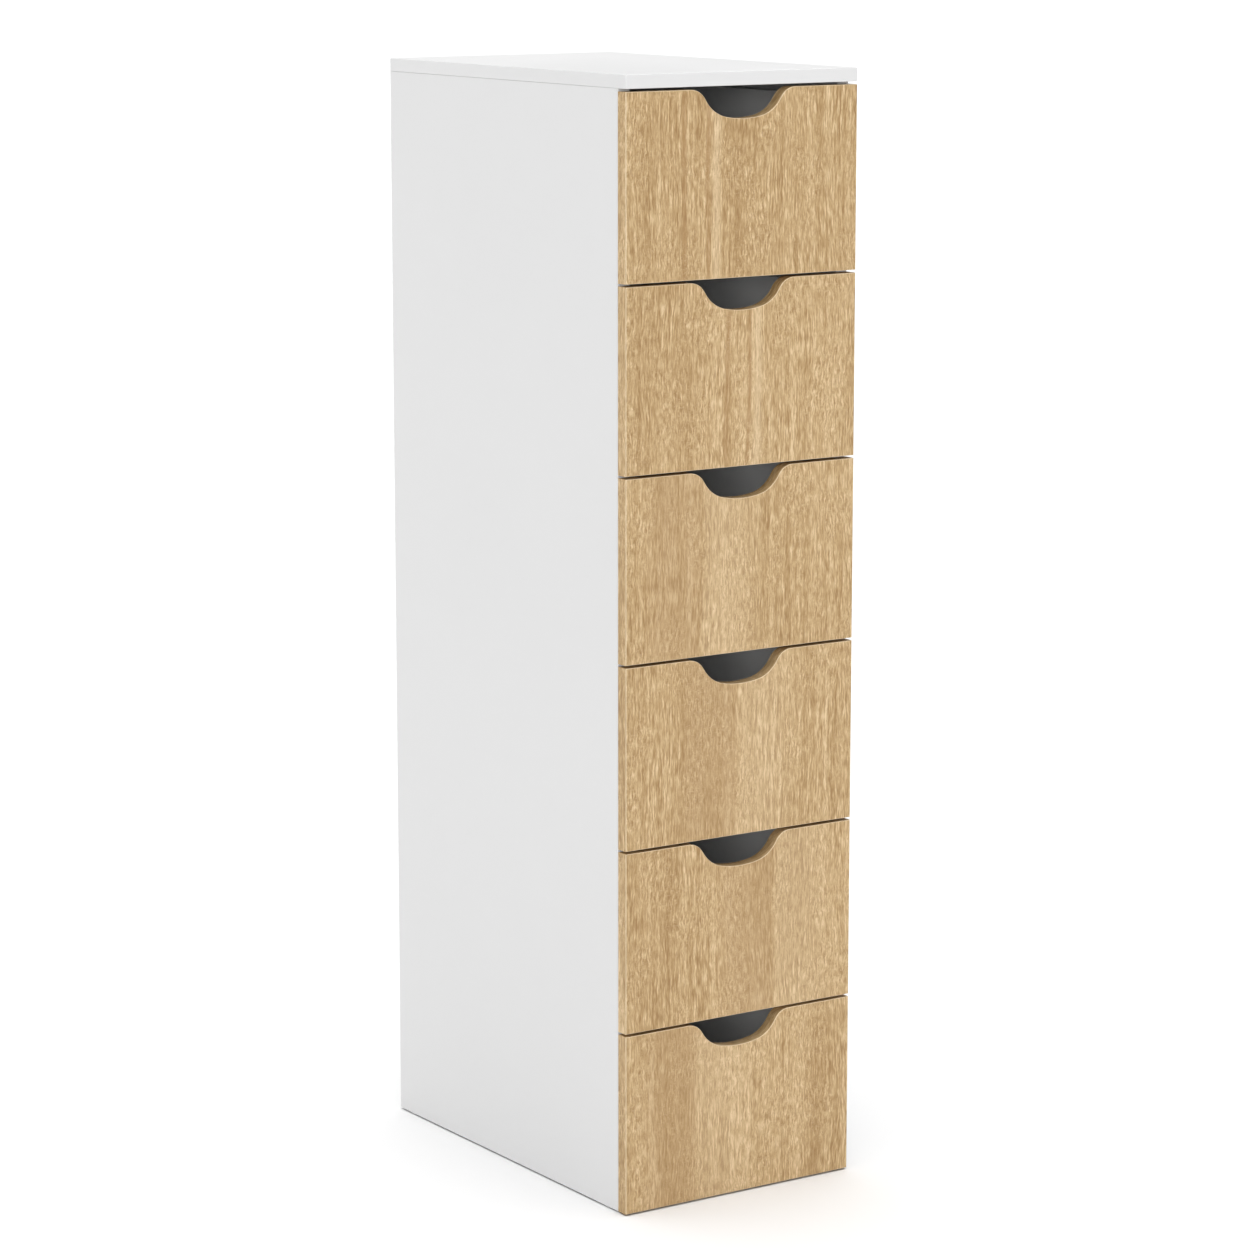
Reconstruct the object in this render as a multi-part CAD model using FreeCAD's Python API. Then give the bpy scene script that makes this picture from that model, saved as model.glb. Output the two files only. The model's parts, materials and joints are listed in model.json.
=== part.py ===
"""Tall chest of six drawers: a white board carcase, oak-effect drawer fronts with scooped finger
cut-outs, and drawer boxes that roll on steel runners.

Frame: millimetres, +Z up. The origin is on the floor under the middle of the chest, the drawers
open towards -Y, and left and right are as seen from the front. Drawer 1 is the top one.
"""
import FreeCAD, Part

import math
import os

# ---------------------------------------------------------------- driving dimensions
WIDTH = 300.0
DEPTH = 480.0
BOARD = 15.0  # side, top and bottom panels and drawer fronts
DRAWERS = 6
FRONT_HEIGHT = 200.0
GAP = 3.0  # between fronts, and between the top front and the top panel
FLOOR_GAP = 2.0  # the floor glides lift the boards by this much
FRONT_STANDOFF = 1.0  # from the sides' front edges to the closed drawer fronts
EDGE_ROUNDING = 1.0

BACK_THICKNESS = 3.0
BACK_RECESS = 1.0
REBATE_WIDTH = 8.0
BOTTOM_PANEL_LIFT = 3.0  # above the sides' bottom edges

# Finger cut-out: a shoulder arc, a corner arc and a shallow floor arc, mirrored about the middle
CUTOUT_HALF_WIDTH = 67.5
CUTOUT_SHOULDER_R = 21.5
CUTOUT_CORNER_R = 39.0
CUTOUT_STEEPEST = math.radians(60.0)
CUTOUT_FLATTEST = math.radians(11.5)

# Drawer box
BOX_LIFT = 24.0  # from the bottom of the front to the bottom of the box
BOX_HEIGHT = 166.0
BOX_LENGTH = 430.0
BOX_BOARD = 12.0
RUNNER_SPACE = 12.5  # from the box side to the cabinet side
BOTTOM_THICKNESS = 3.0
BOTTOM_LIFT = 8.0
GROOVE_DEPTH = 6.0
GROOVE_CLEARANCE = 0.1

# Roller runners
STEEL = 1.2
ROLLER_R = 10.0
ROLLER_WIDTH = 6.8
ROLLER_RUNNING_GAP = 0.05  # under or over a roller, and around its axle
AXLE_R = 2.5
AXLE_HEAD_R = 4.0
AXLE_HEAD = 0.9
FLANGE_GAP = 1.2  # between the drawer's running flange and the cabinet channel's top flange
TRAVEL = 330.0

# Fasteners
DOWEL_R = 4.0
DOWEL_LENGTH = 30.0
CAM_R = 7.5
CAM_DEPTH = 12.5
CAM_DISTANCE = 34.0  # from the joint to the middle of the cam
CAM_SLOT = (8.0, 1.6, 2.0)  # length, width and depth of each slot of the cross in its face
CAM_BOLT_R = 3.0
PANEL_HOLE_DEPTH = 10.0  # of the dowels and cam bolts in the panel they hold
FIT_GAP = 0.1  # around dowels, cams and bolts
SCREW_R = 1.75
SCREW_HEAD_R = 3.4
SCREW_HEAD = 1.0
SCREW_LENGTH = 11.0
SCREW_SLOT = (3.6, 0.7, 0.7)
PIN_R = 0.8
PIN_HEAD_R = 2.0
PIN_HEAD = 0.8
PIN_LENGTH = 14.0
PIN_GAP = 0.05
GLIDE_R = 6.0
GLIDE_NAIL_R = 1.0
GLIDE_NAIL_LENGTH = 14.0

# ---------------------------------------------------------------- worked-out places
HALF_W = WIDTH / 2
INNER_HALF_W = HALF_W - BOARD
FRONT_FACE = -DEPTH / 2
FRONT_REAR = FRONT_FACE + BOARD
SIDE_FRONT = FRONT_REAR + FRONT_STANDOFF
REAR = DEPTH / 2
PITCH = FRONT_HEIGHT + GAP
TOP_UNDERSIDE = FLOOR_GAP + DRAWERS * PITCH
HEIGHT = TOP_UNDERSIDE + BOARD
BACK_REAR = REAR - BACK_RECESS
BACK_FRONT = BACK_REAR - BACK_THICKNESS
BOTTOM_PANEL_Z = FLOOR_GAP + BOTTOM_PANEL_LIFT

BOX_HALF_W = INNER_HALF_W - RUNNER_SPACE
BOX_INNER_HALF_W = BOX_HALF_W - BOX_BOARD
BOX_REAR = FRONT_REAR + BOX_LENGTH

# Runner section: x outward from the box side's outer face, z up from the box's bottom edge
RUN_FLANGE_Z = 19.6  # underside of the drawer's running flange
CHANNEL_FLOOR_Z = RUN_FLANGE_Z - 2 * ROLLER_R - 0.5
CHANNEL_TOP_Z = RUN_FLANGE_Z + STEEL + FLANGE_GAP
REAR_ROLLER_Z = CHANNEL_FLOOR_Z + ROLLER_RUNNING_GAP + ROLLER_R
FRONT_ROLLER_Z = RUN_FLANGE_Z - ROLLER_RUNNING_GAP - ROLLER_R
REAR_ROLLER_Y = BOX_REAR - 15.0
FRONT_ROLLER_Y = SIDE_FRONT + 13.0
RUNNER_SCREW_Z = 17.5
RUNNER_SCREW_YS = (-180.0, 0.0, 180.0)
CABINET_RUNNER_YS = (SIDE_FRONT + 2.0, 215.0)
DRAWER_RUNNER_YS = (FRONT_REAR + 2.0, BOX_REAR)

TOP_DOWEL_YS = (-170.0, 190.0)
TOP_CAM_YS = (-120.0, 140.0)
BOTTOM_DOWEL_YS = (-160.0, 190.0)
BOTTOM_CAM_YS = (-110.0, 140.0)
GLIDE_YS = (-200.0, 215.0)
SIDE_PINS = 8
BOTTOM_PIN_XS = (-60.0, 60.0)

SIDES = {"left": -1, "right": 1}


def vec(x, y, z):
    return FreeCAD.Vector(x, y, z)


def block(xs, ys, zs):
    """A box between two x, two y and two z values, given in any order."""
    low = vec(min(xs), min(ys), min(zs))
    return Part.makeBox(max(xs) - low.x, max(ys) - low.y, max(zs) - low.z, low)


def rod(start, axis, length, radius):
    return Part.makeCylinder(radius, length, start, axis)


def cross_recess(face, inward, slot):
    """Two crossed slots that a driver fits in: face is the middle of the surface they are cut from."""
    length, width, depth = slot
    slots = []
    for a, b in ((length, width), (width, length)):
        half = vec(0, a / 2, b / 2) if abs(inward.x) > 0.5 else vec(a / 2, b / 2, 0)
        near = face - half
        far = face + half + inward * depth
        slots.append(block((near.x, far.x), (near.y, far.y), (near.z, far.z)))
    return slots


def save(name, *solids):
    shape = solids[0] if len(solids) == 1 else Part.makeCompound(list(solids))
    shape.exportStep(f"parts/{name}.step")


def round_edges(shape, wanted, radius=EDGE_ROUNDING):
    return shape.makeFillet(radius, [edge for edge in shape.Edges if wanted(edge)])


def front_z(drawer):
    """The bottom of a drawer's front."""
    return FLOOR_GAP + (DRAWERS - drawer) * PITCH


def box_z(drawer):
    """The bottom edge of a drawer's box."""
    return front_z(drawer) + BOX_LIFT


# ---------------------------------------------------------------- carcase joints and fasteners
def side_middles():
    """The x of the middle of each side panel's thickness, with -1 for left and 1 for right."""
    return [(side * (HALF_W - BOARD / 2), side) for side in SIDES.values()]


def dowels(radius, extra=0.0):
    """The eight dowels, or their holes with a larger radius and some extra length at each end."""
    down = vec(0, 0, -1)
    found = []
    for x, side in side_middles():
        for y in TOP_DOWEL_YS:
            start = vec(x, y, TOP_UNDERSIDE + PANEL_HOLE_DEPTH + extra)
            found.append(rod(start, down, DOWEL_LENGTH + 2 * extra, radius))
        for y in BOTTOM_DOWEL_YS:
            start = vec(side * (INNER_HALF_W + PANEL_HOLE_DEPTH + extra), y, BOTTOM_PANEL_Z + BOARD / 2)
            found.append(rod(start, vec(-side, 0, 0), DOWEL_LENGTH + 2 * extra, radius))
    return found


def cam_bolts(radius, extra=0.0):
    """The eight cam bolts, or their holes. Each one's tip reaches 1.5 mm short of its cam's middle."""
    length = PANEL_HOLE_DEPTH + CAM_DISTANCE - 1.5
    found = []
    for x, side in side_middles():
        for y in TOP_CAM_YS:
            start = vec(x, y, TOP_UNDERSIDE + PANEL_HOLE_DEPTH + extra)
            found.append(rod(start, vec(0, 0, -1), length + 2 * extra, radius))
        for y in BOTTOM_CAM_YS:
            start = vec(side * (INNER_HALF_W + PANEL_HOLE_DEPTH + extra), y, BOTTOM_PANEL_Z + BOARD / 2)
            found.append(rod(start, vec(-side, 0, 0), length + 2 * extra, radius))
    return found


def cam_places():
    """The middle of each cam's face and its way in: in the sides, and under the bottom panel."""
    places = []
    for side in SIDES.values():
        for y in TOP_CAM_YS:
            places.append((vec(side * INNER_HALF_W, y, TOP_UNDERSIDE - CAM_DISTANCE), vec(side, 0, 0)))
        for y in BOTTOM_CAM_YS:
            places.append((vec(side * (INNER_HALF_W - CAM_DISTANCE), y, BOTTOM_PANEL_Z), vec(0, 0, 1)))
    return places


def cam_pockets():
    return [rod(face, inward, CAM_DEPTH, CAM_R + FIT_GAP) for face, inward in cam_places()]


def runner_screws(radius, head=True):
    """Three screws through each cabinet runner into the side, or their holes."""
    found = []
    for side in SIDES.values():
        for drawer in range(1, DRAWERS + 1):
            for y in RUNNER_SCREW_YS:
                z = box_z(drawer) + RUNNER_SCREW_Z
                web = vec(side * (INNER_HALF_W - STEEL), y, z)
                screw = rod(web, vec(side, 0, 0), STEEL + SCREW_LENGTH, radius)
                if head:
                    screw = screw.fuse(rod(web, vec(-side, 0, 0), SCREW_HEAD, SCREW_HEAD_R))
                    top = web - vec(side * SCREW_HEAD, 0, 0)
                    screw = screw.cut(cross_recess(top, vec(side, 0, 0), SCREW_SLOT)).Solids[0]
                found.append(screw)
    return found


def back_pins(radius, head=True):
    """Pins through the back panel into the sides and the bottom panel, or their holes."""
    step = (TOP_UNDERSIDE - FLOOR_GAP) / SIDE_PINS
    side_x = INNER_HALF_W + REBATE_WIDTH / 2
    places = [(s * side_x, FLOOR_GAP + step * (i + 0.5)) for s in SIDES.values() for i in range(SIDE_PINS)]
    places += [(x, BOTTOM_PANEL_Z + BOARD / 2) for x in BOTTOM_PIN_XS]
    found = []
    for x, z in places:
        pin = rod(vec(x, BACK_REAR, z), vec(0, -1, 0), PIN_LENGTH, radius)
        if head:
            pin = pin.fuse(rod(vec(x, BACK_REAR, z), vec(0, 1, 0), PIN_HEAD, PIN_HEAD_R))
        found.append(pin)
    return found


def glide_nails(radius):
    up = vec(0, 0, 1)
    places = [vec(x, y, FLOOR_GAP) for x, _ in side_middles() for y in GLIDE_YS]
    return [rod(place, up, GLIDE_NAIL_LENGTH, radius) for place in places]


# ---------------------------------------------------------------- carcase
def side_panel(side):
    outer = side * HALF_W
    panel = block((side * INNER_HALF_W, outer), (SIDE_FRONT, REAR), (FLOOR_GAP, TOP_UNDERSIDE))
    panel = round_edges(panel, lambda e: abs(e.BoundBox.XMin - outer) < 0.01 and e.BoundBox.ZLength > 100)
    rebate_xs = (side * INNER_HALF_W, side * (INNER_HALF_W + REBATE_WIDTH))
    rebate = block(rebate_xs, (BACK_FRONT, REAR + 1), (0, HEIGHT))
    cuts = [rebate]
    cuts += dowels(DOWEL_R + FIT_GAP, 0.5)
    cuts += cam_bolts(CAM_BOLT_R + FIT_GAP, 0.5)
    cuts += cam_pockets()
    cuts += runner_screws(SCREW_R + PIN_GAP, head=False)
    cuts += back_pins(PIN_R + PIN_GAP, head=False)
    cuts += glide_nails(GLIDE_NAIL_R + PIN_GAP)
    return panel.cut(cuts).Solids[0]


def top_panel():
    panel = block((-HALF_W, HALF_W), (FRONT_FACE, REAR), (TOP_UNDERSIDE, HEIGHT))
    panel = round_edges(panel, lambda e: True)
    return panel.cut(dowels(DOWEL_R + FIT_GAP, 0.5) + cam_bolts(CAM_BOLT_R + FIT_GAP, 0.5)).Solids[0]


def bottom_panel():
    zs = (BOTTOM_PANEL_Z, BOTTOM_PANEL_Z + BOARD)
    panel = block((-INNER_HALF_W, INNER_HALF_W), (SIDE_FRONT + 2.0, BACK_FRONT), zs)
    cuts = dowels(DOWEL_R + FIT_GAP, 0.5)
    cuts += cam_bolts(CAM_BOLT_R + FIT_GAP, 0.5)
    cuts += cam_pockets()
    cuts += back_pins(PIN_R + PIN_GAP, head=False)
    return panel.cut(cuts).Solids[0]


def back_panel():
    half = INNER_HALF_W + REBATE_WIDTH - 0.5
    panel = block((-half, half), (BACK_FRONT, BACK_REAR), (FLOOR_GAP + 1.0, TOP_UNDERSIDE - 0.5))
    return panel.cut(back_pins(PIN_R + PIN_GAP, head=False)).Solids[0]


def cam_fittings():
    """The cams and their bolts. Each cam has a bore that takes the tip of its bolt."""
    bores = cam_bolts(CAM_BOLT_R + FIT_GAP, 0.5)
    housings = []
    for face, inward in cam_places():
        cam = rod(face, inward, CAM_DEPTH - 0.5, CAM_R)
        housings.append(cam.cut(bores + cross_recess(face, inward, CAM_SLOT)).Solids[0])
    return housings + cam_bolts(CAM_BOLT_R)


def floor_glides():
    bodies = []
    for nail in glide_nails(GLIDE_NAIL_R):
        centre = nail.BoundBox.Center
        pad = rod(vec(centre.x, centre.y, 0), vec(0, 0, 1), FLOOR_GAP, GLIDE_R)
        pad = round_edges(pad, lambda e: e.BoundBox.ZMax < 0.01, 0.8)
        bodies.append(pad.fuse(nail))
    return bodies


# ---------------------------------------------------------------- drawers
def arc(centre_x, centre_z, radius, angle_a, angle_b, y):
    """An arc in a plane of constant y. Angles are measured from +X towards +Z."""
    angles = (angle_a, (angle_a + angle_b) / 2, angle_b)
    points = [vec(centre_x + radius * math.cos(a), y, centre_z + radius * math.sin(a)) for a in angles]
    return Part.Arc(*points).toShape()


def finger_cutout(top):
    """The scoop taken out of a front's top edge, a little longer than the board is thick."""
    y = FRONT_FACE - 1.0
    steep = CUTOUT_STEEPEST
    flat = CUTOUT_FLATTEST
    up = math.pi / 2
    corner_run = CUTOUT_CORNER_R * (math.sin(steep) - math.sin(flat))
    floor_half = CUTOUT_HALF_WIDTH - CUTOUT_SHOULDER_R * math.sin(steep) - corner_run
    floor_r = floor_half / math.sin(flat)
    shoulder_z = top - CUTOUT_SHOULDER_R
    corner_x = (floor_r - CUTOUT_CORNER_R) * math.sin(flat)
    corner_z = shoulder_z + (CUTOUT_SHOULDER_R + CUTOUT_CORNER_R) * math.cos(steep)
    floor_z = corner_z + (floor_r - CUTOUT_CORNER_R) * math.cos(flat)
    edges = [
        arc(-CUTOUT_HALF_WIDTH, shoulder_z, CUTOUT_SHOULDER_R, up, up - steep, y),
        arc(-corner_x, corner_z, CUTOUT_CORNER_R, -up - steep, -up - flat, y),
        arc(0, floor_z, floor_r, -up - flat, -up + flat, y),
        arc(corner_x, corner_z, CUTOUT_CORNER_R, -up + flat, -up + steep, y),
        arc(CUTOUT_HALF_WIDTH, shoulder_z, CUTOUT_SHOULDER_R, up + steep, up, y),
    ]
    right_end = vec(CUTOUT_HALF_WIDTH, y, top)
    left_end = vec(-CUTOUT_HALF_WIDTH, y, top)
    above = vec(0, 0, 5.0)
    corners = [right_end, right_end + above, left_end + above, left_end]
    edges += [Part.makeLine(a, b) for a, b in zip(corners, corners[1:])]
    return Part.Face(Part.Wire(Part.__sortEdges__(edges))).extrude(vec(0, BOARD + 2.0, 0))


def groove(drawer):
    """The space that the drawer's bottom and its play take up in the front and the box sides."""
    half = BOX_INNER_HALF_W + GROOVE_DEPTH
    low = box_z(drawer) + BOTTOM_LIFT - GROOVE_CLEARANCE
    high = low + BOTTOM_THICKNESS + 2 * GROOVE_CLEARANCE
    return block((-half, half), (FRONT_REAR - GROOVE_DEPTH, BOX_REAR + 1), (low, high))


def drawer_front(drawer):
    z = front_z(drawer)
    front = block((-HALF_W, HALF_W), (FRONT_FACE, FRONT_REAR), (z, z + FRONT_HEIGHT))
    front = front.cut(finger_cutout(z + FRONT_HEIGHT))
    front = round_edges(front, lambda e: e.BoundBox.YMax < FRONT_FACE + 0.01)
    return front.cut(groove(drawer)).Solids[0]


def drawer_side(drawer, side):
    z = box_z(drawer)
    xs = (side * BOX_INNER_HALF_W, side * BOX_HALF_W)
    board = block(xs, (FRONT_REAR, BOX_REAR), (z, z + BOX_HEIGHT))
    top = z + BOX_HEIGHT
    board = round_edges(board, lambda e: e.BoundBox.ZMin > top - 0.01 and e.BoundBox.YLength > 100)
    return board.cut(groove(drawer)).Solids[0]


def drawer_back(drawer):
    """The bottom slides in under the back board."""
    top = box_z(drawer) + BOX_HEIGHT
    low = box_z(drawer) + BOTTOM_LIFT + BOTTOM_THICKNESS + GROOVE_CLEARANCE
    xs = (-BOX_INNER_HALF_W, BOX_INNER_HALF_W)
    board = block(xs, (BOX_REAR - BOX_BOARD, BOX_REAR), (low, top))
    return round_edges(board, lambda e: e.BoundBox.ZMin > top - 0.01 and e.BoundBox.XLength > 100)


def drawer_bottom(drawer):
    half = BOX_INNER_HALF_W + GROOVE_DEPTH - 2 * GROOVE_CLEARANCE
    z = box_z(drawer) + BOTTOM_LIFT
    ys = (FRONT_REAR - GROOVE_DEPTH + 2 * GROOVE_CLEARANCE, BOX_REAR)
    return block((-half, half), ys, (z, z + BOTTOM_THICKNESS))


# ---------------------------------------------------------------- runners and rollers
def section_block(drawer, side, xs, ys, zs):
    """A block given in the runner section's own x and z."""
    low = box_z(drawer)
    return block([side * (BOX_HALF_W + x) for x in xs], ys, [low + z for z in zs])


def headed_axle(drawer, side, x_root, x_end, y, z):
    """An axle riveted to a runner at x_root, with its head at x_end, in the runner section's x."""
    way = math.copysign(1, x_end - x_root) * side
    root = vec(side * (BOX_HALF_W + x_root), y, box_z(drawer) + z)
    length = abs(x_end - x_root)
    head_start = root + vec(way * (length - AXLE_HEAD), 0, 0)
    axle = rod(root, vec(way, 0, 0), length, AXLE_R)
    return axle.fuse(rod(head_start, vec(way, 0, 0), AXLE_HEAD, AXLE_HEAD_R))


def drawer_runner(drawer, side):
    """An angle under the box side whose outer flange runs on the cabinet's front roller."""
    ys = DRAWER_RUNNER_YS
    top = RUN_FLANGE_Z + STEEL
    web = section_block(drawer, side, (0, STEEL), ys, (-STEEL, top))
    foot = section_block(drawer, side, (-10.0, 0), ys, (-STEEL, 0))
    flange = section_block(drawer, side, (STEEL, 9.0), ys, (RUN_FLANGE_Z, top))
    axle = headed_axle(drawer, side, STEEL, 10.2, REAR_ROLLER_Y, REAR_ROLLER_Z)
    return web.fuse([foot, flange, axle]).removeSplitter().Solids[0]


def cabinet_runner(drawer, side):
    """A channel on the cabinet side. A tab stops the rear roller at the end of the travel."""
    ys = CABINET_RUNNER_YS
    outer = RUNNER_SPACE
    web_face = outer - STEEL
    low = CHANNEL_FLOOR_Z - STEEL
    high = CHANNEL_TOP_Z + STEEL
    web = section_block(drawer, side, (web_face, outer), ys, (low, high))
    floor = section_block(drawer, side, (2.5, web_face), ys, (low, CHANNEL_FLOOR_Z))
    lip = section_block(drawer, side, (4.5, web_face), (ys[0] + 30.0, ys[1]), (CHANNEL_TOP_Z, high))
    tab_rear = REAR_ROLLER_Y - TRAVEL - ROLLER_R - 1.0
    tab = section_block(drawer, side, (5.0, web_face), (tab_rear - STEEL, tab_rear), (CHANNEL_FLOOR_Z, 14.0))
    rear_stop = section_block(drawer, side, (2.5, web_face), (ys[1] - STEEL, ys[1]), (CHANNEL_FLOOR_Z, 14.0))
    axle = headed_axle(drawer, side, web_face, 1.9, FRONT_ROLLER_Y, FRONT_ROLLER_Z)
    runner = web.fuse([floor, lip, tab, rear_stop, axle]).removeSplitter()
    return runner.cut(runner_screws(SCREW_R + PIN_GAP, head=False)).Solids[0]


def roller_pair(drawer, x_start, y, z):
    """Two nylon rollers on one line, one for each side, with a shallow step around the hub."""
    rollers = []
    for side in SIDES.values():
        start = vec(side * (BOX_HALF_W + x_start), y, box_z(drawer) + z)
        out = vec(side, 0, 0)
        wheel = rod(start, out, ROLLER_WIDTH, ROLLER_R)
        wheel = round_edges(wheel, lambda e: e.Length > 10.0 and e.BoundBox.XLength < 0.01, 0.6)
        bore = rod(start, out, ROLLER_WIDTH, AXLE_R + ROLLER_RUNNING_GAP)
        step_out = rod(start, out, 0.8, ROLLER_R - 2.5).cut(rod(start, out, 0.8, AXLE_HEAD_R + 0.5))
        rollers.append(wheel.cut([bore, step_out]).Solids[0])
    return rollers


# ---------------------------------------------------------------- assembly
def build_cabinet():
    for name, side in SIDES.items():
        save(f"cabinet_side_{name}", side_panel(side))
        save(f"cabinet_runners_{name}", *[cabinet_runner(d, side) for d in range(1, DRAWERS + 1)])
    save("cabinet_top", top_panel())
    save("cabinet_bottom", bottom_panel())
    save("cabinet_back", back_panel())
    save("cam_fittings", *cam_fittings())
    save("dowels", *dowels(DOWEL_R))
    save("runner_screws", *runner_screws(SCREW_R))
    save("back_pins", *back_pins(PIN_R))
    save("floor_glides", *floor_glides())


def build_drawer(drawer):
    name = f"drawer_{drawer}"
    save(f"{name}_front", drawer_front(drawer))
    for side_name, side in SIDES.items():
        save(f"{name}_side_{side_name}", drawer_side(drawer, side))
    save(f"{name}_back", drawer_back(drawer))
    save(f"{name}_bottom", drawer_bottom(drawer))
    save(f"{name}_runners", *[drawer_runner(drawer, side) for side in SIDES.values()])
    save(f"{name}_rear_rollers", *roller_pair(drawer, 2.1, REAR_ROLLER_Y, REAR_ROLLER_Z))
    save(f"{name}_front_rollers", *roller_pair(drawer, 3.1, FRONT_ROLLER_Y, FRONT_ROLLER_Z))


os.makedirs("parts", exist_ok=True)
build_cabinet()
for number in range(1, DRAWERS + 1):
    build_drawer(number)
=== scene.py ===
"""The looks of the tall chest of drawers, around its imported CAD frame. Units are metres, +Z up;
the drawers open towards -Y and drawer 1 is the top one."""

import json
import math

import bmesh
import bpy
from mathutils import Matrix, Vector


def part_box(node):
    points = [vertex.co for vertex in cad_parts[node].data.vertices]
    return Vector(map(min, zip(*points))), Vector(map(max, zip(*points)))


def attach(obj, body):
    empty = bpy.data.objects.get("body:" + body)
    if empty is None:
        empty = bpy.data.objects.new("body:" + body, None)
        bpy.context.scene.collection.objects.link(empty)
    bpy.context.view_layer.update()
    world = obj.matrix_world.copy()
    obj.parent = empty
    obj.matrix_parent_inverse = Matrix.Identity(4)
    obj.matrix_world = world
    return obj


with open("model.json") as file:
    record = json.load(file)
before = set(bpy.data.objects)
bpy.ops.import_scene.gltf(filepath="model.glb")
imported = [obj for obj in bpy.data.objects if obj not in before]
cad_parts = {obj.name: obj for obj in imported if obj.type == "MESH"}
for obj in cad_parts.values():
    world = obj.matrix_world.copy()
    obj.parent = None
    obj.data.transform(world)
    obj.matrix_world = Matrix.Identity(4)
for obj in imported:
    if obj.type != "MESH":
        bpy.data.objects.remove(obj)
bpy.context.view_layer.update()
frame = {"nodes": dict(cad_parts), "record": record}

DRAWERS = 6

# ---------------------------------------------------------------- camera
CAMERA_PLACE = Vector((-2.527, -3.790, 1.436))
CAMERA_TURN = math.radians(33.82)  # to the right of straight ahead
CAMERA_DROP = math.radians(10.38)  # below level
CAMERA_LENS = 117.5  # mm, as is the sensor's width
SENSOR = 36.0


def make_camera():
    camera = bpy.data.objects.new("camera", bpy.data.cameras.new("camera"))
    camera.data.sensor_width = SENSOR
    camera.data.lens = CAMERA_LENS
    camera.location = CAMERA_PLACE
    camera.rotation_euler = (math.pi / 2 - CAMERA_DROP, 0, -CAMERA_TURN)
    camera.data.clip_end = 500.0
    bpy.context.scene.collection.objects.link(camera)
    bpy.context.scene.camera = camera


# ---------------------------------------------------------------- light and floor
ZENITH = 0.12  # the sky's brightness overhead
HORIZON = 0.80  # and its brightness at the horizon, which stands in for pale walls
WALL_TOP = math.sin(math.radians(24))  # where the walls have faded into the sky
BACKDROP = 1.0  # what the camera itself sees of the sky: a blank white, which hides the horizon
OVERHEAD = 1.25  # what the light from above adds to a level white surface
KEY = 0.41  # what the light from the front left adds to a surface that faces it
FLOOR_HALF = 150.0  # half the floor's width, so far that its end looks like the horizon
FLOOR_WHITE = 0.80


def soft_sun(name, turn, height, spread, strength):
    """A broad light from far away. In degrees, turn is how far to the left of the front it stands,
    height is its angle above level, and spread is how wide it looks."""
    data = bpy.data.lights.new(name, "SUN")
    data.energy = strength * math.pi
    data.angle = math.radians(spread)
    light = bpy.data.objects.new(name, data)
    light.rotation_euler = (math.radians(90 - height), 0, math.radians(-turn))
    bpy.context.scene.collection.objects.link(light)


def make_studio():
    """The sky, which is brighter near the horizon and blank white to the camera, and the two lights."""
    world = bpy.data.worlds.new("studio")
    world.use_nodes = True
    nodes = world.node_tree.nodes
    background = nodes["Background"]
    background.inputs["Color"].default_value = (1.0, 1.0, 1.0, 1.0)
    direction = nodes.new("ShaderNodeTexCoord").outputs["Generated"]
    split = nodes.new("ShaderNodeSeparateXYZ")
    fade = nodes.new("ShaderNodeMapRange")
    fade.interpolation_type = "SMOOTHSTEP"
    for name, value in (("From Max", WALL_TOP), ("To Min", HORIZON), ("To Max", ZENITH)):
        fade.inputs[name].default_value = value
    link = world.node_tree.links.new
    link(direction, split.inputs[0])
    link(split.outputs["Z"], fade.inputs["Value"])
    seen = nodes.new("ShaderNodeMix")
    seen.inputs["B"].default_value = BACKDROP
    link(nodes.new("ShaderNodeLightPath").outputs["Is Camera Ray"], seen.inputs["Factor"])
    link(fade.outputs["Result"], seen.inputs["A"])
    link(seen.outputs["Result"], background.inputs["Strength"])
    bpy.context.scene.world = world
    bpy.context.scene.view_settings.view_transform = "Standard"
    soft_sun("overhead", turn=0, height=90, spread=70, strength=OVERHEAD)
    soft_sun("key", turn=37, height=9, spread=28, strength=KEY)


def make_floor():
    half = FLOOR_HALF
    mesh = bpy.data.meshes.new("floor")
    corners = [(-half, -half, 0), (half, -half, 0), (half, half, 0), (-half, half, 0)]
    mesh.from_pydata(corners, [], [(0, 1, 2, 3)])
    floor = bpy.data.objects.new("floor", mesh)
    bpy.context.scene.collection.objects.link(floor)
    shader = Shader("floor_white")
    shader.set(**{"Base Color": rgb(FLOOR_WHITE, FLOOR_WHITE, FLOOR_WHITE)})
    shader.set(**{"Roughness": 0.9, "Specular IOR Level": 0.0})
    mesh.materials.append(shader.material)


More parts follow.
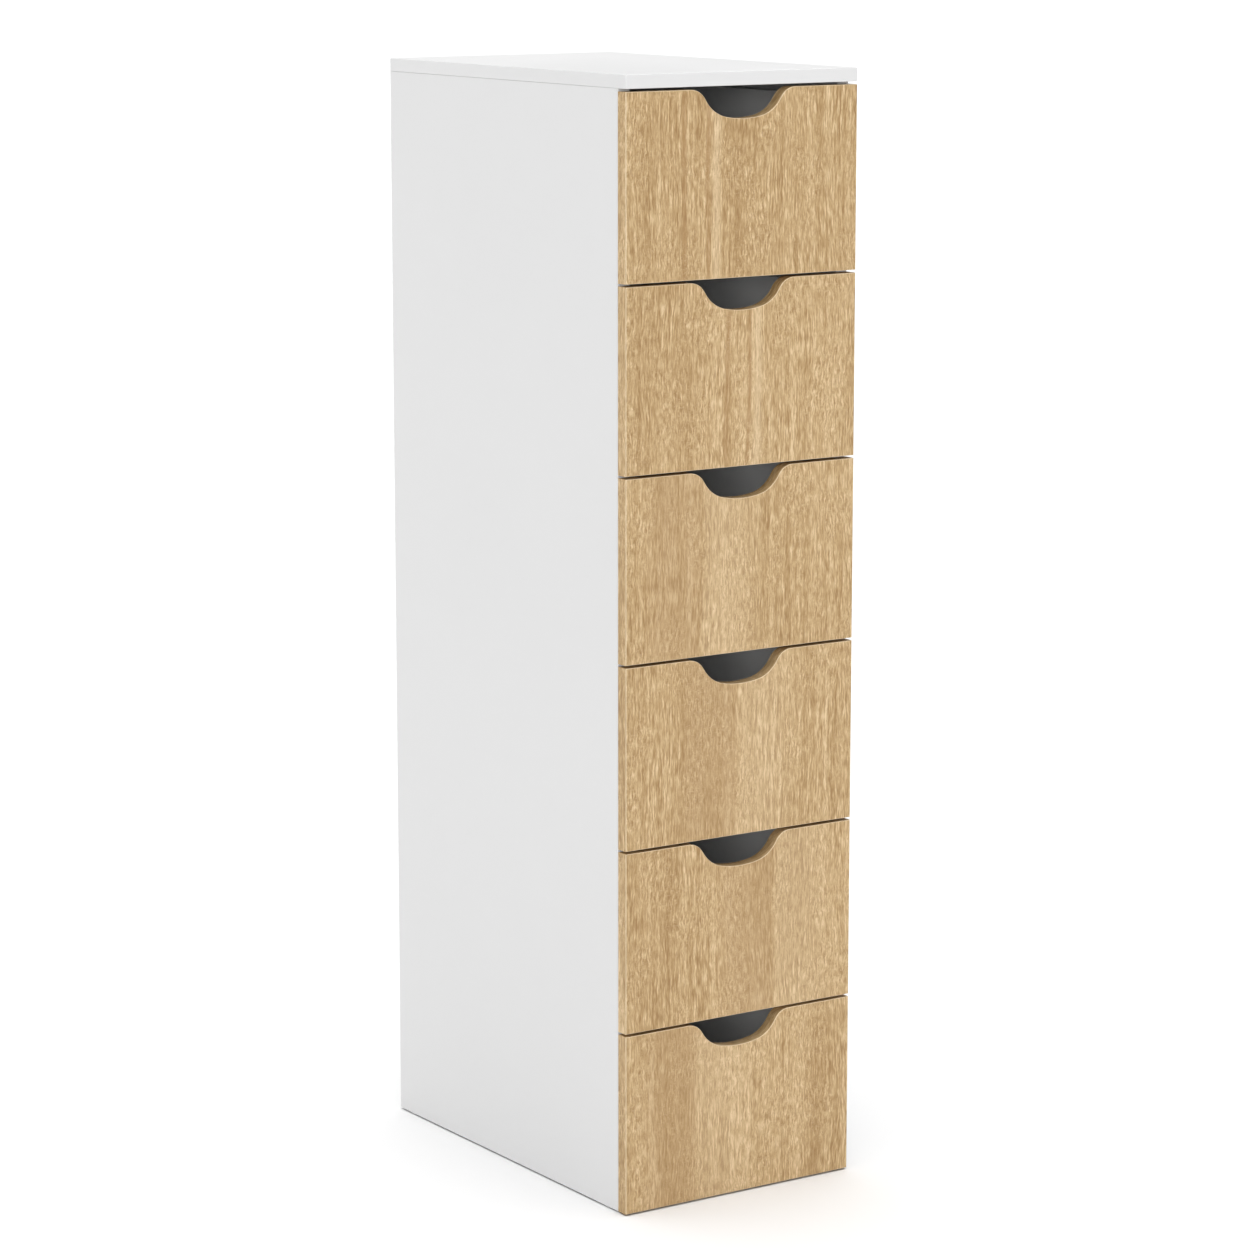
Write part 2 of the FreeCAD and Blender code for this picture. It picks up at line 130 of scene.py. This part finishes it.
# ---------------------------------------------------------------- material helpers
class Shader:
    """One material's node tree, with short calls for the nodes that the finishes share."""

    def __init__(self, name):
        self.material = bpy.data.materials.new(name)
        self.material.use_nodes = True
        self.tree = self.material.node_tree
        self.surface = self.tree.nodes["Principled BSDF"]
        self.place = self.node("ShaderNodeTexCoord").outputs["Object"]

    def node(self, kind, **settings):
        node = self.tree.nodes.new(kind)
        for name, value in settings.items():
            setattr(node, name, value)
        return node

    def feed(self, socket, value):
        if isinstance(value, bpy.types.NodeSocket):
            self.tree.links.new(value, socket)
        else:
            socket.default_value = value

    def set(self, **values):
        for name, value in values.items():
            self.feed(self.surface.inputs[name], value)

    def math(self, operation, a, b=0.0):
        node = self.node("ShaderNodeMath", operation=operation)
        self.feed(node.inputs[0], a)
        self.feed(node.inputs[1], b)
        return node.outputs[0]

    def vector_math(self, operation, a, b):
        node = self.node("ShaderNodeVectorMath", operation=operation)
        self.feed(node.inputs[0], a)
        self.feed(node.inputs[1], b)
        return node.outputs[0]

    def split(self, vector):
        node = self.node("ShaderNodeSeparateXYZ")
        self.feed(node.inputs[0], vector)
        return node.outputs

    def join(self, x, y, z):
        node = self.node("ShaderNodeCombineXYZ")
        for socket, value in zip(node.inputs, (x, y, z)):
            self.feed(socket, value)
        return node.outputs[0]

    def noise(self, vector, size, detail=2.0, roughness=0.5):
        """Noise from 0 to 1 whose features are about size=(x, y, z) metres across."""
        scaled = self.vector_math("DIVIDE", vector, size)
        node = self.node("ShaderNodeTexNoise")
        self.feed(node.inputs["Vector"], scaled)
        self.feed(node.inputs["Scale"], 1.0)
        self.feed(node.inputs["Detail"], detail)
        self.feed(node.inputs["Roughness"], roughness)
        return node.outputs["Fac"]

    def between(self, value, low, high, to_low=0.0, to_high=1.0, smooth=True):
        """value's place between low and high, mapped to the range to_low..to_high."""
        kind = "SMOOTHSTEP" if smooth else "LINEAR"
        node = self.node("ShaderNodeMapRange", interpolation_type=kind)
        for name, number in (("From Min", low), ("From Max", high), ("To Min", to_low), ("To Max", to_high)):
            self.feed(node.inputs[name], number)
        self.feed(node.inputs["Value"], value)
        return node.outputs["Result"]

    def mix(self, share, a, b):
        node = self.node("ShaderNodeMix", data_type="RGBA")
        self.feed(node.inputs[0], share)
        self.feed(node.inputs[6], a)
        self.feed(node.inputs[7], b)
        return node.outputs[2]

    def mix_value(self, share, a, b):
        node = self.node("ShaderNodeMix", data_type="FLOAT")
        self.feed(node.inputs[0], share)
        self.feed(node.inputs[2], a)
        self.feed(node.inputs[3], b)
        return node.outputs[0]

    def swing(self, value, gain):
        """value with its swing about the middle, 0.5, multiplied by gain."""
        return self.math("ADD", self.math("MULTIPLY", self.math("SUBTRACT", value, 0.5), gain), 0.5)

    def weigh(self, *parts):
        """0.5 plus the swing of each value about 0.5, times its weight."""
        total = 0.5
        for value, weight in parts:
            total = self.math("ADD", total, self.math("MULTIPLY", self.math("SUBTRACT", value, 0.5), weight))
        return total

    def ramp(self, value, *stops):
        node = self.node("ShaderNodeValToRGB")
        points = node.color_ramp.elements
        while len(points) < len(stops):
            points.new(0.5)
        for point, (position, colour) in zip(points, stops):
            point.position = position
            point.color = colour
        self.feed(node.inputs[0], value)
        return node.outputs[0]

    def bump(self, height, depth, strength=1.0):
        node = self.node("ShaderNodeBump")
        self.feed(node.inputs["Height"], height)
        self.feed(node.inputs["Distance"], depth)
        self.feed(node.inputs["Strength"], strength)
        self.set(Normal=node.outputs["Normal"])


def rgb(red, green, blue):
    return (red, green, blue, 1.0)


def tinted(colour, factor):
    """colour made darker by a factor under 1, or lighter by one over 1."""
    return rgb(*(min(1.0, part * factor) for part in colour[:3]))


# ---------------------------------------------------------------- finishes
BANDING = 0.0009  # thickness of the strip on a white board's edges
SEAM = 0.00016  # half the width of the glue line beside it
SEAM_GREY = rgb(0.30, 0.28, 0.25)
SEAM_SHARE = 0.45  # how strongly the glue line shows


def banding_seams(shader, node, lines):
    """1 on the glue lines that a board's edge strips leave round its two faces, and 0 elsewhere.
    lines holds, for each edge with a strip, its axis (0, 1 or 2) and its end (0 low, 1 high)."""
    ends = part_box(node)
    size = [high - low for low, high in zip(*ends)]
    thin = size.index(min(size))
    place = shader.split(shader.place)
    normal = shader.split(shader.node("ShaderNodeTexCoord").outputs["Normal"])
    total = 0.0
    for axis, end in lines:
        at = ends[end][axis] + (BANDING if end == 0 else -BANDING)
        distance = shader.math("ABSOLUTE", shader.math("SUBTRACT", place[axis], at))
        total = shader.math("MAXIMUM", total, shader.between(distance, SEAM / 2, SEAM, 1.0, 0.0))
    on_face = shader.between(shader.math("ABSOLUTE", normal[thin]), 0.8, 0.9)
    return shader.math("MULTIPLY", total, on_face)


def white_melamine(name, colour, seed, node=None, banded=()):
    """Matt white board: a faint cloudiness, a fine pearl grain, and slightly uneven gloss. seed moves
    the pattern, so that no two boards share one, and banded lists the edges of node with a strip."""
    shader = Shader(name)
    moved = shader.vector_math("ADD", shader.place, (seed, seed * 0.7, seed * 1.3))
    cloud = shader.noise(moved, (0.25, 0.25, 0.25), detail=2)
    pearl = shader.noise(moved, (0.0009, 0.0009, 0.0009), detail=3, roughness=0.6)
    tone = shader.math("ADD", shader.between(cloud, 0.3, 0.7, -0.008, 0.008),
                       shader.between(pearl, 0.3, 0.7, -0.006, 0.006))
    share = shader.math("ADD", 0.5, shader.math("MULTIPLY", tone, 12.0))
    white = shader.mix(share, tinted(colour, 0.96), tinted(colour, 1.04))
    height = pearl
    if banded:
        seams = banding_seams(shader, node, banded)
        white = shader.mix(shader.math("MULTIPLY", seams, SEAM_SHARE), white, SEAM_GREY)
        height = shader.math("SUBTRACT", pearl, seams)
    shader.set(**{"Base Color": white})
    shader.set(Roughness=shader.between(cloud, 0.3, 0.7, 0.42, 0.50))
    shader.bump(height, 0.00006)
    return shader.material


# Where each front's main figure lies, from the middle: its right-hand vein, or the edge of its heart
FIGURE_X = {1: -0.047, 2: 0.008, 3: -0.055, 4: -0.006, 5: 0.045, 6: -0.057}
VEINED = (1, 2)
CREAM = rgb(0.73, 0.565, 0.355)
VEIN_BROWN = rgb(0.345, 0.195, 0.072)
HEART_BROWN = rgb(0.390, 0.245, 0.112)
PORE_BROWN = rgb(0.290, 0.165, 0.062)
# Painted shade for the cut-out's upward-facing edges
PAINTED_EDGE_SHADE = rgb(0.300, 0.185, 0.080)
# Painted highlight for the rounding along the cut-out's rim
PAINTED_RIM_HIGHLIGHT = rgb(0.80, 0.68, 0.48)


def veined_figure(shader, colour, side, strength):
    """Two narrow brown veins with a cream streak to their right. side is how far to the right of the
    right-hand vein a point lies, and strength is how strong the brown is there, from 0 to 1."""
    for middle, half_width in ((0.0, 0.0038), (-0.028, 0.0046)):
        distance = shader.math("ABSOLUTE", shader.math("SUBTRACT", side, middle))
        vein = shader.math("MULTIPLY", shader.between(distance, 0.0, half_width, 0.75, 0.0), strength)
        colour = shader.mix(vein, colour, VEIN_BROWN)
    distance = shader.math("ABSOLUTE", shader.math("SUBTRACT", side, 0.011))
    return shader.mix(shader.between(distance, 0.0, 0.009, 0.42, 0.0), colour, CREAM)


def hearted_figure(shader, colour, side, strength):
    """A brown heart to the left of the line where side is 0, and a paler, creamy stretch to its right."""
    heart = shader.math("MULTIPLY", shader.between(side, -0.085, -0.050),
                        shader.between(side, -0.004, 0.005, 0.42, 0.0))
    colour = shader.mix(shader.math("MULTIPLY", heart, strength), colour, HEART_BROWN)
    cream = shader.math("MULTIPLY", shader.between(side, -0.003, 0.010),
                        shader.between(side, 0.035, 0.095, 0.20, 0.0))
    return shader.mix(cream, colour, CREAM)


def painted_edge_shade_and_highlight(shader, colour, facing, upward):
    """Painted shade on the cut-out's upward-facing edge, browner than the face, and a painted highlight on
    the rounding between them, paler.
    """
    # Painted shade: the cut-out's edges that face upward are drawn browner
    edge_shade = shader.math("MULTIPLY", shader.between(facing, 0.0, 0.45, 0.26, 0.05),
                         shader.between(upward, 0.1, 0.4))
    colour = shader.mix(edge_shade, colour, PAINTED_EDGE_SHADE)
    # Painted highlight: the rounding between face and edge is drawn paler
    rim = shader.math("MULTIPLY", shader.between(facing, 0.80, 0.99, 0.60, 0.0),
                      shader.between(facing, 0.05, 0.35))
    return shader.mix(rim, colour, PAINTED_RIM_HIGHLIGHT)


def oak(name, drawer):
    """Light oak with upright grain: broad bands, straight lines, crinkled figure, veins and pores."""
    shader = Shader(name)
    shift = (0.371 * drawer, 0.0, 0.833 * drawer)  # each front is cut from another part of the sheet
    x, y, z = shader.split(shader.vector_math("ADD", shader.place, shift))
    normal = shader.split(shader.node("ShaderNodeTexCoord").outputs["Normal"])
    facing = shader.math("ABSOLUTE", normal[1])
    on_face = shader.between(facing, 0.45, 0.75)

    # The banding on the board's edges has its grain along the edge, so there y runs across it
    across = shader.mix_value(on_face, y, x)
    length = shader.mix_value(on_face, shader.math("ADD", x, z), z)
    flat = shader.join(across, 0.0, length)

    # The grain wanders by a few millimetres, and crinkles where figure is 1
    drift = shader.noise(flat, (0.070, 1, 0.190), detail=1)
    drift = shader.between(drift, 0.2, 0.8, -0.0060, 0.0060, smooth=False)
    ripple = shader.noise(flat, (0.0058, 1, 0.0100), detail=1)
    ripple = shader.between(ripple, 0.2, 0.8, -0.0016, 0.0016, smooth=False)
    figure = shader.between(shader.noise(flat, (0.052, 1, 0.095), detail=2), 0.42, 0.58)
    wander = shader.math("ADD", drift, shader.math("MULTIPLY", ripple, 0.40))
    gentle = shader.join(shader.math("ADD", across, wander), 0.0, length)
    lively = shader.join(shader.math("ADD", across, shader.math("ADD", drift, ripple)), 0.0, length)

    bands = shader.noise(gentle, (0.046, 1, 0.80), detail=1)
    lines = shader.noise(gentle, (0.0060, 1, 0.26), detail=2, roughness=0.65)
    dashes = shader.noise(gentle, (0.0021, 1, 0.018), detail=2, roughness=0.6)
    crinkle = shader.noise(lively, (0.0020, 1, 0.0120), detail=2, roughness=0.7)
    fine = shader.mix_value(figure, dashes, crinkle)
    drawn_lines = shader.swing(lines, shader.between(figure, 0.0, 1.0, 1.15, 0.45))
    colour = shader.ramp(
        shader.weigh((bands, 0.60), (drawn_lines, 1.0), (fine, 2.3)),
        (0.10, rgb(0.318, 0.184, 0.068)),
        (0.36, rgb(0.421, 0.272, 0.119)),
        (0.56, rgb(0.512, 0.352, 0.175)),
        (0.90, rgb(0.705, 0.528, 0.312)),
    )

    true_x = shader.math("ADD", shader.split(shader.place)[0], drift)
    side = shader.math("SUBTRACT", true_x, FIGURE_X[drawer])
    strength = shader.between(lines, 0.30, 0.60, 0.55, 1.0)
    draw_figure = veined_figure if drawer in VEINED else hearted_figure
    colour = draw_figure(shader, colour, side, strength)

    ray_line = shader.noise(lively, (0.0034, 1, 0.0022), detail=1)
    ray = shader.math("MULTIPLY", figure, shader.between(ray_line, 0.54, 0.68, 0.0, 0.24))
    colour = shader.mix(ray, colour, CREAM)

    pores = shader.noise(gentle, (0.0012, 1, 0.0048), detail=1)
    cracks = shader.noise(shader.vector_math("ADD", gentle, (3.3, 0, 6.1)), (0.0013, 1, 0.0170), detail=1)
    pore = shader.math("MAXIMUM", shader.between(pores, 0.60, 0.72, 0.0, 0.50),
                       shader.between(cracks, 0.59, 0.69, 0.0, 0.55))
    colour = shader.mix(pore, colour, PORE_BROWN)

    # The cut-out's edges get painted shade and their rounding a painted highlight
    shader.set(**{"Base Color": painted_edge_shade_and_highlight(shader, colour, facing, normal[2])})
    shader.set(Roughness=shader.between(fine, 0.3, 0.7, 0.48, 0.60))
    shader.bump(shader.math("SUBTRACT", shader.math("MULTIPLY", fine, 0.6), pore), 0.00012, 0.7)
    return shader.material


def painted_steel(name, colour):
    """White powder coat with a fine orange peel."""
    shader = Shader(name)
    peel = shader.noise(shader.place, (0.0016, 0.0016, 0.0016), detail=2)
    cloud = shader.noise(shader.place, (0.03, 0.03, 0.03), detail=2)
    shader.set(**{"Base Color": shader.mix(cloud, colour, tinted(colour, 0.93))})
    shader.set(Roughness=shader.between(cloud, 0.3, 0.7, 0.30, 0.40))
    shader.bump(peel, 0.00012, 0.6)
    return shader.material


def plated_steel(name):
    """Zinc plate: a satin grey with a light mottling."""
    shader = Shader(name)
    mottle = shader.noise(shader.place, (0.0015, 0.0015, 0.0015), detail=4)
    shader.set(Metallic=1.0)
    shader.set(**{"Base Color": shader.mix(mottle, rgb(0.52, 0.53, 0.55), rgb(0.72, 0.72, 0.71))})
    shader.set(Roughness=shader.between(mottle, 0.3, 0.7, 0.28, 0.42))
    return shader.material


def nylon(name, colour):
    """Moulded plastic, faintly cloudy."""
    shader = Shader(name)
    cloud = shader.noise(shader.place, (0.004, 0.004, 0.004), detail=3)
    shader.set(**{"Base Color": shader.mix(cloud, colour, tinted(colour, 0.9))})
    shader.set(Roughness=shader.between(cloud, 0.3, 0.7, 0.38, 0.50))
    shader.bump(cloud, 0.00003)
    return shader.material


def foil_board(name, colour, seed):
    """Foil-wrapped drawer board: a faint linen weave under a satin face. seed moves the pattern."""
    shader = Shader(name)
    moved = shader.vector_math("ADD", shader.place, (seed, seed, seed))
    cloud = shader.noise(moved, (0.12, 0.12, 0.12), detail=3)
    thread_a = shader.noise(moved, (0.0012, 0.0012, 0.03), detail=2)
    thread_b = shader.noise(moved, (0.03, 0.03, 0.0012), detail=2)
    weave = shader.math("ADD", thread_a, thread_b)
    share = shader.math("ADD", shader.math("MULTIPLY", cloud, 0.5), shader.math("MULTIPLY", weave, 0.25))
    shader.set(**{"Base Color": shader.mix(share, tinted(colour, 0.92), colour)})
    shader.set(Roughness=shader.between(weave, 0.6, 1.4, 0.44, 0.56))
    shader.bump(weave, 0.00005)
    return shader.material


def dowel_wood(name):
    """Pale beech with an upright grain."""
    shader = Shader(name)
    grain = shader.noise(shader.place, (0.001, 0.001, 0.02), detail=3)
    shader.set(**{"Base Color": shader.mix(grain, rgb(0.50, 0.34, 0.18), rgb(0.70, 0.54, 0.34))})
    shader.set(Roughness=0.7)
    return shader.material


WHITE = rgb(0.685, 0.685, 0.685)
FOIL_WHITE = rgb(0.86, 0.86, 0.855)
ZINC = plated_steel("zinc_plate")


def dress_cad_nodes():
    """Each CAD node gets its finish: its own for a board with banding or grain, else its slot's."""
    by_slot = {
        "drawer_board": foil_board("drawer_foil", FOIL_WHITE, seed=3.0),
        "drawer_bottom_board": foil_board("drawer_bottom_foil", FOIL_WHITE, seed=5.0),
        "back_board": white_melamine("back_paint", rgb(0.66, 0.66, 0.65), seed=7.0),
        "runner_steel": painted_steel("runner_coat", rgb(0.74, 0.74, 0.72)),
        "roller_nylon": nylon("roller_nylon", rgb(0.78, 0.77, 0.72)),
        "zinc": ZINC,
        "dowel_wood": dowel_wood("dowel_beech"),
        "glide_plastic": nylon("glide_plastic", rgb(0.70, 0.70, 0.69)),
    }
    by_node = {f"drawer_{d}_front": oak(f"oak_{d}", d) for d in range(1, DRAWERS + 1)}
    banded = {  # each board's edges with a strip, as their axes and ends
        "cabinet_side_left": [(1, 0), (1, 1)],
        "cabinet_side_right": [(1, 0), (1, 1)],
        "cabinet_top": [(0, 0), (0, 1), (1, 0), (1, 1)],
        "cabinet_bottom": [(1, 0)],
    }
    for seed, (name, lines) in enumerate(banded.items()):
        by_node[name] = white_melamine(f"{name}_melamine", WHITE, 1.7 * seed, name, lines)
    slots = {row["node"]: row["material_slot"] for row in frame["record"]["subparts"]}
    for name, node in frame["nodes"].items():
        finish = by_node.get(name) or by_slot[slots[name]]
        node.data.materials.clear()
        node.data.materials.append(finish)
        for face in node.data.polygons:
            face.material_index = 0


# ---------------------------------------------------------------- drawer fixings
HEAD_SEGMENTS = 48
HEAD_RINGS = (0.10, 0.20, 0.30, 0.42, 0.54, 0.66, 0.78, 0.88, 0.95, 1.0)  # their radii, over the head's
SUNK = 0.0003  # how far a head's rim sits in the surface that it is screwed to
NEXT_TURN = math.radians(170.354)  # how much further each head's cross is turned than the last one's
CAM_INSET = 0.024  # from the front's back to a cam's middle
FIXING_INSET = 0.045  # from the box's lower and upper edges to the fixings between them
BACK_INSET = 0.006  # from a side board's rear end to the screws into the back board
RUNNER_SCREW_INSET = 0.005  # from the box's outside to the screws up through the runner
RUNNER_SCREW_Y = (-0.17, 0.0, 0.16)


def add_head(mesh, place, out, turn, radius, height, arm, reach, recess):
    """A domed disc on a surface, facing out, with a cross for a driver pressed into it and turned by
    turn. arm is the half-width of the cross's bars and reach half their length, over the radius."""
    upright = Vector((0, 0, 1)).rotation_difference(out)
    to_world = upright.to_matrix() @ Matrix.Rotation(turn, 3, "Z")

    def point(share, angle):
        u = share * math.cos(angle)
        v = share * math.sin(angle)
        rise = height * math.sqrt(max(0.0, 1 - share ** 2 * 0.85)) if share < 1.0 else -SUNK
        if min(abs(u), abs(v)) < arm and max(abs(u), abs(v)) < reach:
            rise -= recess
        return mesh.verts.new(place + to_world @ Vector((u * radius, v * radius, rise)))

    angles = [2 * math.pi * i / HEAD_SEGMENTS for i in range(HEAD_SEGMENTS)]
    rings = [[point(share, angle) for angle in angles] for share in HEAD_RINGS]
    middle = point(0.0, 0.0)
    for i in range(HEAD_SEGMENTS):
        j = (i + 1) % HEAD_SEGMENTS
        mesh.faces.new((middle, rings[0][i], rings[0][j]))
        for inner, outer in zip(rings, rings[1:]):
            mesh.faces.new((inner[i], outer[i], outer[j], inner[j]))
    mesh.faces.new(list(reversed(rings[-1])))


def heads(name, body, places, **shape):
    """One piece of several like heads, each given by its place and the way it faces."""
    mesh = bmesh.new()
    for index, (place, out) in enumerate(places):
        add_head(mesh, Vector(place), Vector(out), index * NEXT_TURN, **shape)
    data = bpy.data.meshes.new(name)
    mesh.to_mesh(data)
    mesh.free()
    for face in data.polygons:
        face.use_smooth = len(face.vertices) < 5
    data.materials.append(ZINC)
    piece = bpy.data.objects.new(name, data)
    bpy.context.scene.collection.objects.link(piece)
    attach(piece, body)


def fit_drawer(drawer):
    """The cams that hold the box to its front, the screws into its back, and those up into its sides."""
    body = f"drawer_{drawer}"
    low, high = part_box(f"{body}_side_right")
    inner, outer, foot, rim = low[0], high[0], low[2], high[2]
    corners = [(side, z) for side in (-1, 1) for z in (foot + FIXING_INSET, rim - FIXING_INSET)]

    cam_y = low[1] + CAM_INSET
    cams = [((side * inner, cam_y, z), (-side, 0, 0)) for side, z in corners]
    heads(f"{body}_cams", body, cams, radius=0.006, height=0.0004, arm=0.11, reach=0.62, recess=0.0012)

    back_y = high[1] - BACK_INSET
    back = [((side * outer, back_y, z), (side, 0, 0)) for side, z in corners]
    heads(f"{body}_back_screws", body, back, radius=0.0036, height=0.0005, arm=0.13, reach=0.55,
          recess=0.0010)

    under_x = outer - RUNNER_SCREW_INSET
    foot_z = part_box(f"{body}_runners")[0][2]
    under = [((side * under_x, y, foot_z), (0, 0, -1)) for side in (-1, 1) for y in RUNNER_SCREW_Y]
    heads(f"{body}_runner_screws", body, under, radius=0.0033, height=0.0010, arm=0.13, reach=0.55,
          recess=0.0008)


make_camera()
make_studio()
make_floor()
dress_cad_nodes()
for number in range(1, DRAWERS + 1):
    fit_drawer(number)
